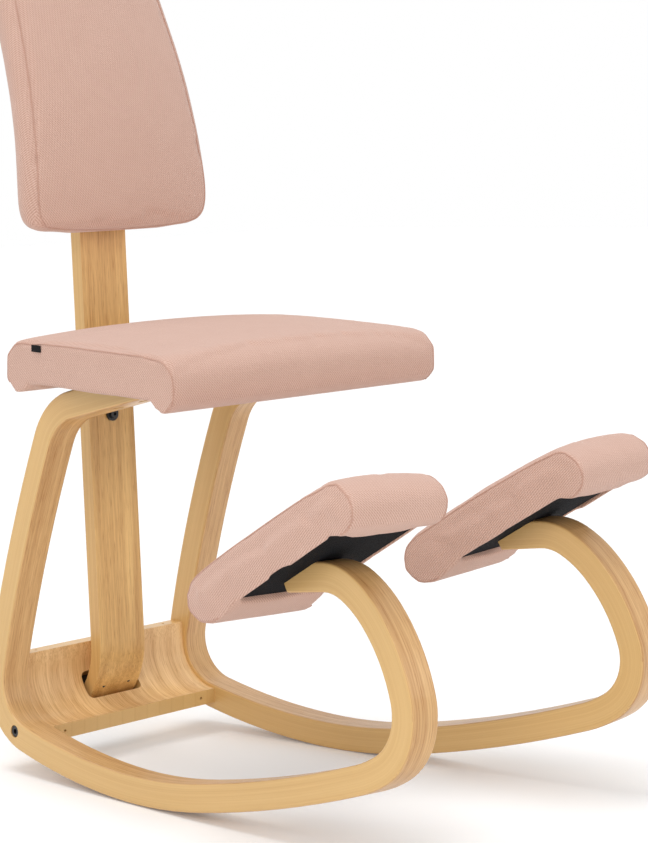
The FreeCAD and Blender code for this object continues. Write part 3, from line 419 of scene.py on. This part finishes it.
PINK = cloth("pink_twill", srgb(225, 191, 175), srgb(188, 145, 128))
STITCH = cloth("seam_thread", srgb(214, 172, 154), srgb(184, 140, 122), pitch=0.0008, bump=0.0002)
FELT = cloth("dark_felt", srgb(30, 31, 35), srgb(14, 15, 18), pitch=0.0012, bump=0.0003, sheen=0.0)
TAB = cloth("tab_cloth", srgb(26, 26, 28), srgb(10, 10, 12), pitch=0.0008, bump=0.0002, sheen=0.05)
BLACK_STEEL = plain("black_steel", srgb(26, 26, 28), 0.0, 0.38)
ZINC = plain("zinc_steel", srgb(188, 190, 194), 1.0, 0.34)
print("materials so far:", len(bpy.data.materials))

# %% [markdown]
# ## Finishes for the nodes that stay
# Bolts, nuts, plates and boards have the right shape already and only need their surface.

# %% Finish the kept nodes
FINISH = {
    "cross_panel": PANEL_WOOD, "back_post": POST_WOOD, "seat_board": BOARD_WOOD, "back_board": BOARD_WOOD,
    "knee_board_right": BOARD_WOOD, "knee_board_left": BOARD_WOOD, "seat_undercover": FELT,
    "knee_undercover_right": FELT, "knee_undercover_left": FELT, "seat_tab": TAB,
    "panel_inserts": ZINC, "seat_nuts": ZINC, "knee_nuts": ZINC, "back_nuts": ZINC,
    "panel_bolts": BLACK_STEEL, "foot_plate": BLACK_STEEL, "foot_bolts": BLACK_STEEL,
    "foot_screws": BLACK_STEEL, "seat_bolts": BLACK_STEEL, "knee_bolts": BLACK_STEEL,
    "back_bolts": BLACK_STEEL, "seat_stay": BLACK_STEEL, "stay_screws": BLACK_STEEL,
    "stay_bolt": BLACK_STEEL, "stay_nut": BLACK_STEEL,
}


def dress(obj, mat):
    obj.data.materials.clear()
    obj.data.materials.append(mat)


for name, mat in FINISH.items():
    dress(NODES[name], mat)
print("dressed:", len(FINISH))

# %% [markdown]
# ## The runners
# Each runner is one strip bent through eleven curves. Its centre line is a walk of straight runs and
# arcs, the same walk that shapes the solid. Every point of the mesh is measured against it: how far
# along the strip, how deep through the plies and how far across. The grain then follows the wood round
# each bend, as it does when thin veneers are glued in a curved press.

# %% Walk the strip and carry the distances
WALK_FROM = (-0.040, 0.4746, 192.5)
WALK = [(None, 157.8), (74, 53.4), (1800, 9.3), (65, 90.6), (900, 11.3), (700, 12.2), (1770, 8.4),
        (160, 13.5), (66, 74.3), (186, 28.5), (130, 18.9), (65, 33.7), (None, 86.0)]
SPLAY, LEAN, RUNNER_X = math.radians(3.25), math.radians(2.1), 0.1687


def strip_distances(u, v):
    """Along and through distances of points in the plane of the strip."""
    at_u, at_v, th = WALK_FROM[0], WALK_FROM[1], math.radians(WALK_FROM[2])
    best = np.full(len(u), 9.0)
    along = np.zeros(len(u))
    through = np.zeros(len(u))
    length = 0.0
    for radius, amount in WALK:
        if radius is None:
            run = amount / 1000
            du, dv = u - at_u, v - at_v
            s = np.clip(du * math.cos(th) + dv * math.sin(th), 0, run)
            off = -du * math.sin(th) + dv * math.cos(th)
            gap = np.hypot(du - s * math.cos(th), dv - s * math.sin(th))
            end = (at_u + run * math.cos(th), at_v + run * math.sin(th), th)
        else:
            r, turn = radius / 1000, math.radians(amount)
            cu, cv = at_u - r * math.sin(th), at_v + r * math.cos(th)
            du, dv = u - cu, v - cv
            angle = (np.arctan2(du, -dv) - th + math.pi) % (2 * math.pi) - math.pi
            a = np.clip(angle, 0, turn)
            s = a * r
            off = r - np.hypot(du, dv)
            gap = np.hypot(du - r * np.sin(th + a), dv + r * np.cos(th + a))
            end = (cu + r * math.sin(th + turn), cv - r * math.cos(th + turn), th + turn)
            run = r * turn
        near = gap < best
        best[near], along[near], through[near] = gap[near], (length + s)[near], off[near]
        length += run
        at_u, at_v, th = end
    return along, through


def make_runner(side, name):
    source = NODES[name]
    piece = bpy.data.objects.new(name + "_wood", source.data.copy())
    bpy.context.scene.collection.objects.link(piece)
    mesh = piece.data
    co = np.zeros(len(mesh.vertices) * 3)
    mesh.vertices.foreach_get("co", co)
    co = co.reshape(-1, 3) - np.array((side * RUNNER_X, 0, 0))
    ahead = np.array((side * math.sin(SPLAY), -math.cos(SPLAY), 0))
    out0 = np.array((side * math.cos(SPLAY), math.sin(SPLAY), 0))
    up0 = np.array((0, 0, 1.0))
    up = up0 * math.cos(LEAN) - out0 * math.sin(LEAN)
    out = out0 * math.cos(LEAN) + up0 * math.sin(LEAN)
    along, through = strip_distances(co @ ahead, co @ up)
    data = np.stack([along + (0.7 if side > 0 else 0.0), through, co @ out], axis=1)
    mesh.attributes.new("strip", "FLOAT_VECTOR", "POINT").data.foreach_set("vector", data.ravel())
    normals = np.zeros(len(mesh.polygons) * 3)
    mesh.polygons.foreach_get("normal", normals)
    flank = (np.abs(normals.reshape(-1, 3) @ out) > 0.8).astype(float)
    mesh.attributes.new("cut_side", "FLOAT", "FACE").data.foreach_set("value", flank)
    dress(piece, RUNNER_WOOD)
    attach(piece, "root")
    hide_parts(name)
    print(name, "strip length", round(float(along.max()), 3))
    return piece


for side, name in ((-1, "runner_right"), (1, "runner_left")):
    make_runner(side, name)

# %% [markdown]
# ## The cushions
# Foam under a tight cover swells a little between its seams. The solid is remeshed, inflated by a short
# cloth simulation with its movement capped, and left untouched near its board, so the pad still sits
# where it is fastened.

# %% Inflate a cushion
VOXEL = 0.0045
SWELL = 0.0028      # the most that a cover stands out
INSET = 0.0014      # the simulation starts this far inside
DENT = 0.0004       # the most that it sinks
SLIDE = 0.2         # the share kept of the movement along the surface
FRAMES = 20
SEAT_PITCH, KNEE_PITCH = math.radians(3.0), math.radians(29.0)


def coordinates(mesh):
    co = np.zeros(len(mesh.vertices) * 3)
    mesh.vertices.foreach_get("co", co)
    return co.reshape(-1, 3)


def normals_of(mesh):
    n = np.zeros(len(mesh.vertices) * 3)
    mesh.vertices.foreach_get("normal", n)
    return n.reshape(-1, 3)


def apply_all(obj):
    """Bake the modifiers of an object into its mesh."""
    deps = bpy.context.evaluated_depsgraph_get()
    deps.update()
    mesh = bpy.data.meshes.new_from_object(obj.evaluated_get(deps))
    old = obj.data
    obj.modifiers.clear()
    obj.data = mesh
    bpy.data.meshes.remove(old)


def near_board(points, board, margin=0.006):
    """1 where a point is clear of the board node, falling to 0 next to it."""
    mesh = NODES[board].data
    tree = BVHTree.FromPolygons([v.co for v in mesh.vertices], [p.vertices[:] for p in mesh.polygons])
    gap = np.array([tree.find_nearest(Vector(p), 0.03)[3] or 0.03 for p in points])
    return np.clip((gap - 0.002) / margin, 0, 1)


def cushion(name, node_name, board, axes):
    piece = bpy.data.objects.new(name, NODES[node_name].data.copy())
    bpy.context.scene.collection.objects.link(piece)
    piece.data.transform(axes.inverted())
    remesh = piece.modifiers.new("even", "REMESH")
    remesh.mode = "VOXEL"
    remesh.voxel_size = VOXEL
    apply_all(piece)
    smooth = piece.modifiers.new("soften", "SMOOTH")
    smooth.factor, smooth.iterations = 0.5, 1
    apply_all(piece)
    piece.data.transform(axes)
    rest = coordinates(piece.data)
    free = near_board(rest, board)[:, None]
    away = normals_of(piece.data)
    start = rest - away * INSET * free
    piece.data.vertices.foreach_set("co", start.ravel())
    piece.data.update()
    sim = piece.modifiers.new("swell", "CLOTH")
    sim.settings.use_pressure = True
    sim.settings.uniform_pressure_force = 4.0
    sim.settings.effector_weights.gravity = 0.0
    sim.settings.quality = 4
    scene = bpy.context.scene
    sim.point_cache.frame_start, sim.point_cache.frame_end = 1, FRAMES
    for f in range(1, FRAMES + 1):
        scene.frame_set(f)
    apply_all(piece)
    scene.frame_set(1)
    moved = coordinates(piece.data) - rest
    out = (moved * away).sum(axis=1, keepdims=True)
    slide = (moved - out * away) * SLIDE
    moved = away * np.clip(out, -DENT, SWELL) + slide
    piece.data.vertices.foreach_set("co", (rest + moved * free).ravel())
    piece.data.update()
    sub = piece.modifiers.new("fine", "SUBSURF")
    sub.levels = sub.render_levels = 1
    apply_all(piece)
    piece.data.polygons.foreach_set("use_smooth", [True] * len(piece.data.polygons))
    dress(piece, PINK)
    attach(piece, "root")
    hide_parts(node_name)
    print(name, "faces", len(piece.data.polygons))
    return piece


def knee_axes(side):
    """Turns the pad's own axes, which follow the board, into the chair's."""
    return (Matrix.Rotation(side * SPLAY, 4, "Z") @ Matrix.Rotation(side * LEAN, 4, "Y")
            @ Matrix.Rotation(-KNEE_PITCH, 4, "X"))


PADS = {
    "seat": cushion("seat_pad", "seat_cushion", "seat_board", Matrix.Rotation(SEAT_PITCH, 4, "X")),
    "knee_right": cushion("knee_pad_right", "knee_cushion_right", "knee_board_right", knee_axes(-1)),
    "knee_left": cushion("knee_pad_left", "knee_cushion_left", "knee_board_left", knee_axes(1)),
    "back": cushion("back_pad", "back_cushion", "back_board", Matrix.Rotation(0.0, 4, "X")),
}

# %% [markdown]
# ## The seams
# A boxed cover is sewn from a long top panel and two side panels, and the back pad from a front panel
# and a band. Each seam is a fine raised cord that lies on the finished cushion: the path is laid on the
# surface point by point, after the cushion has swollen.

# %% Seam paths
SEAT_AT = (0.100, 0.4618)
SEAT_SIDE = [(-140, -1), (-145, 17), (-136, 38.3), (-113, 47.2), (-60, 49), (0, 49.5), (60, 49.1),
             (105, 47.7), (127.5, 38.3), (136.5, 18), (133, 0), (122, -10)]
KNEE_AT = (0.1973, 0.2892)
KNEE_SIDE = [(-90, -9.5), (-117, -2.5), (-129, 17), (-121.5, 37), (-101, 45.5), (15, 49), (127, 43.5),
             (146.5, 33), (154, 15), (149.5, 0), (138, -8.5), (124, -10)]


def spline_points(points, steps=14):
    """A smooth path through the points."""
    pts = [Vector(p) for p in points]
    out = []
    for i in range(len(pts) - 1):
        p0, p1 = pts[max(i - 1, 0)], pts[i]
        p2, p3 = pts[i + 1], pts[min(i + 2, len(pts) - 1)]
        for k in range(steps):
            t = k / steps
            out.append(0.5 * ((2 * p1) + (p2 - p0) * t + (2 * p0 - 5 * p1 + 4 * p2 - p3) * t * t
                              + (3 * p1 - p0 - 3 * p2 + p3) * t ** 3))
    out.append(pts[-1])
    return out


def surface_of(piece):
    mesh = piece.data
    return BVHTree.FromPolygons([v.co for v in mesh.vertices], [p.vertices[:] for p in mesh.polygons])


def seam(name, piece, path, radius=0.0008, closed=False):
    tree = surface_of(piece)
    laid = []
    for p in path:
        hit, normal, _, _ = tree.find_nearest(p)
        laid.append(hit + normal * radius * 0.35)
    for again in range(2):
        laid = [laid[0]] + [(laid[i - 1] + 2 * laid[i] + laid[i + 1]) / 4 for i in range(1, len(laid) - 1)] \
            + [laid[-1]]
    curve = bpy.data.curves.new(name, "CURVE")
    curve.dimensions = "3D"
    curve.bevel_depth, curve.bevel_resolution, curve.use_fill_caps = radius, 3, True
    s = curve.splines.new("POLY")
    s.points.add(len(laid) - 1)
    for target, p in zip(s.points, laid):
        target.co = (*p, 1)
    s.use_cyclic_u = closed
    obj = bpy.data.objects.new(name, curve)
    bpy.context.scene.collection.objects.link(obj)
    curve.materials.append(STITCH)
    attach(obj, "root")
    return obj


def seat_place(x, f, h):
    c, s = math.cos(SEAT_PITCH), math.sin(SEAT_PITCH)
    return Vector((x, SEAT_AT[0] - f * c - h * s, SEAT_AT[1] - f * s + h * c))


def knee_place(side, w, f, h):
    c, s = math.cos(KNEE_PITCH), math.sin(KNEE_PITCH)
    u, v = KNEE_AT[0] + f * c - h * s, KNEE_AT[1] + f * s + h * c
    ahead = Vector((side * math.sin(SPLAY), -math.cos(SPLAY), 0))
    out0 = Vector((side * math.cos(SPLAY), math.sin(SPLAY), 0))
    up = Vector((0, 0, math.cos(LEAN))) - out0 * math.sin(LEAN)
    out = out0 * math.cos(LEAN) + Vector((0, 0, math.sin(LEAN)))
    return Vector((side * RUNNER_X, 0, 0)) + ahead * u + up * v + out * w


seams = []
for side, tag in ((-1, "right"), (1, "left")):
    path = [seat_place(side * 0.2068, f / 1000, h / 1000) for f, h in SEAT_SIDE]
    seams.append(seam("seat_seam_" + tag, PADS["seat"], spline_points(path)))
    for w, edge in ((-1, "inner"), (1, "outer")):
        path = [knee_place(side, w * 0.0668, f / 1000, h / 1000) for f, h in KNEE_SIDE]
        seams.append(seam("knee_seam_%s_%s" % (tag, edge), PADS["knee_" + tag], spline_points(path)))
print("seams:", len(seams))

# %% [markdown]
# The back pad's seam runs round its front panel, a little in from the outline. Its half width follows
# the slices that shape the pad, and its path leans and curves with the post.

# %% Back seam
PAD_TURN = (0.3067, 0.652)
PAD_R, PAD_ARC, PAD_BELOW, PAD_LEAN = 0.6485, math.radians(17.0), 0.022, math.radians(0.6)
PAD_EDGE = [(4, 60, 37), (7, 104, 37), (10, 117, 37), (16, 124, 39), (28, 128.5, 40), (50, 129.5, 41),
            (105, 125.5, 41.2), (190, 118.5, 41), (270, 111, 39.6), (330, 104, 37.2), (362, 93, 34),
            (379, 74, 29)]


def pad_place(s, x, h):
    s -= PAD_BELOW
    a = 0.0 if s <= 0 else min(s / PAD_R, PAD_ARC)
    rest = s if s <= 0 else max(0.0, s - PAD_R * PAD_ARC)
    lean = PAD_LEAN + a
    cy = PAD_TURN[0] + PAD_R * math.cos(PAD_LEAN)
    cz = PAD_TURN[1] - PAD_R * math.sin(PAD_LEAN)
    y = cy - PAD_R * math.cos(lean) + rest * math.sin(lean) - h * math.cos(lean)
    z = cz + PAD_R * math.sin(lean) + rest * math.cos(lean) + h * math.sin(lean)
    return Vector((x, y, z))


left = [pad_place(s / 1000, -w / 1000, h / 1000) for s, w, h in PAD_EDGE]
right = [pad_place(s / 1000, w / 1000, h / 1000) for s, w, h in reversed(PAD_EDGE)]
loop = spline_points(left + right + [left[0]], 12)[:-1]
seams.append(seam("back_seam", PADS["back"], loop, closed=True))
print("seams:", len(seams))

# %% [markdown]
# ## The room
# A white floor and white surroundings, with a broad soft light from almost straight above and two weaker
# lamps in front. The lit floor is just about white, so it melts into the background and keeps the shadow
# of the runners. A small lift, seen by the camera and in reflections only, takes it the rest of the way.

# %% Floor, world and lamps
LIFT = 0.10
WORLD_LIGHT = 0.62


def make_floor():
    mesh = bpy.data.meshes.new("floor")
    bm = bmesh.new()
    bmesh.ops.create_grid(bm, x_segments=4, y_segments=4, size=14.0)
    bm.to_mesh(mesh)
    bm.free()
    floor = bpy.data.objects.new("floor", mesh)
    bpy.context.scene.collection.objects.link(floor)
    m, tree, shader = material("floor_paint")
    rays = node(tree, "LightPath")
    seen = maths(tree, "ADD", rays.outputs["Is Camera Ray"], rays.outputs["Is Glossy Ray"], clamp=True)
    seen = maths(tree, "ADD", seen, rays.outputs["Is Transmission Ray"], clamp=True)
    shader.inputs["Base Color"].default_value = (0.9, 0.9, 0.9, 1)
    shader.inputs["Roughness"].default_value = 0.9
    shader.inputs["Specular IOR Level"].default_value = 0.1
    shader.inputs["Emission Color"].default_value = (1, 1, 1, 1)
    tree.links.new(maths(tree, "MULTIPLY", seen, LIFT), shader.inputs["Emission Strength"])
    floor.data.materials.append(m)
    return floor


def make_world():
    world = bpy.data.worlds.new("room")
    bpy.context.scene.world = world
    world.use_nodes = True
    tree = world.node_tree
    tree.nodes.clear()
    rays = node(tree, "LightPath")
    seen = maths(tree, "ADD", rays.outputs["Is Camera Ray"], rays.outputs["Is Glossy Ray"], clamp=True)
    seen = maths(tree, "ADD", seen, rays.outputs["Is Transmission Ray"], clamp=True)
    strength = remap(tree, seen, 0.0, 1.0, WORLD_LIGHT, 1.0)
    bg = node(tree, "Background", {"Color": (1, 1, 1, 1), "Strength": strength})
    out = tree.nodes.new("ShaderNodeOutputWorld")
    tree.links.new(bg.outputs[0], out.inputs["Surface"])


def lamp(name, at, aim, size, power):
    data = bpy.data.lights.new(name, "AREA")
    data.shape, data.size, data.energy = "DISK", size, power
    obj = bpy.data.objects.new(name, data)
    bpy.context.scene.collection.objects.link(obj)
    obj.location = at
    obj.rotation_euler = (Vector(aim) - Vector(at)).to_track_quat("-Z", "Y").to_euler()
    return obj


floor = make_floor()
make_world()
MIDDLE = (0.0, 0.0, 0.4)
sky = bpy.data.lights.new("sky", "SUN")
sky.energy, sky.angle = 1.42, math.radians(34)
overhead = bpy.data.objects.new("sky", sky)
bpy.context.scene.collection.objects.link(overhead)
overhead.rotation_euler = (math.radians(-7), math.radians(-5), 0)
lamps = [overhead, lamp("front", (-2.6, -1.6, 1.9), MIDDLE, 1.6, 26),
         lamp("right", (1.4, -2.8, 1.4), MIDDLE, 1.2, 12)]
bpy.context.scene.view_settings.view_transform = "Standard"
print("lamps:", len(lamps))

# %% [markdown]
# ## Close
# The view layer is updated at the end.

# %% Finish
bpy.context.view_layer.update()
